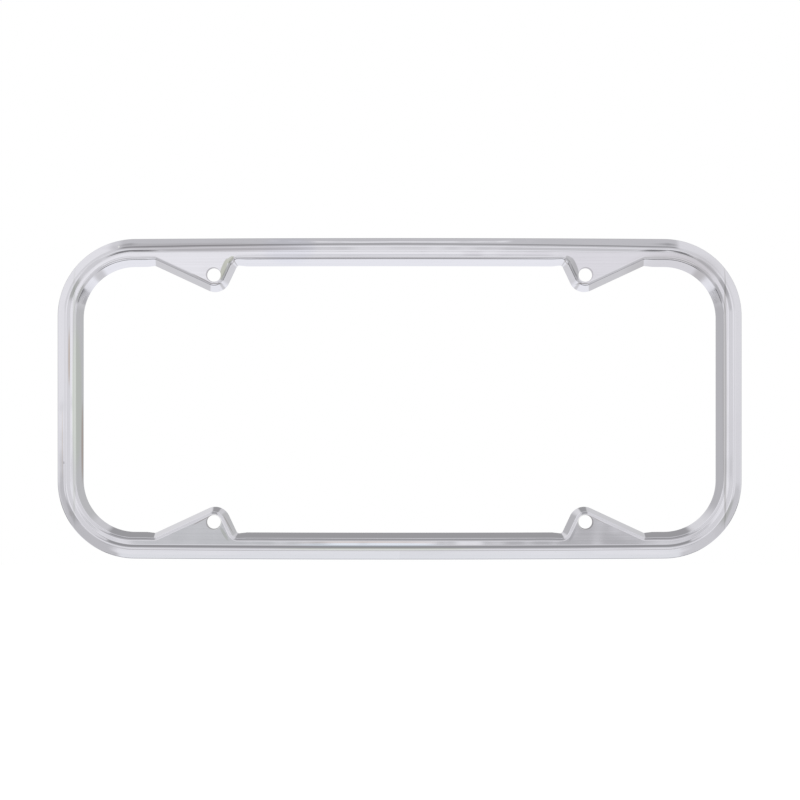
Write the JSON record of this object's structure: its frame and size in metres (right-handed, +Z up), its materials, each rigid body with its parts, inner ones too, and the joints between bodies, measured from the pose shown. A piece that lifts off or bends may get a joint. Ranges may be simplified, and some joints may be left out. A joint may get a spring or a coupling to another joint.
{
  "type": "number plate holder",
  "caption": "Pressed, polished steel frame round a vehicle number plate, with a raised edge, a deep skirt, a lip round the opening and drilled tabs that point into it.",
  "frame": {"origin": "centre of the four bolt holes, on the front of the tabs", "axes": "+X to the right seen from the front, +Y to the back, towards the vehicle, +Z up, as mounted"},
  "size_m": [0.352, 0.0129, 0.1654],
  "materials": {
    "polished_steel": "polished stainless steel, with fine polishing lines along the sheet"
  },
  "bodies": {
    "root": {"plate_frame": "polished_steel"}
  },
  "joints": []
}
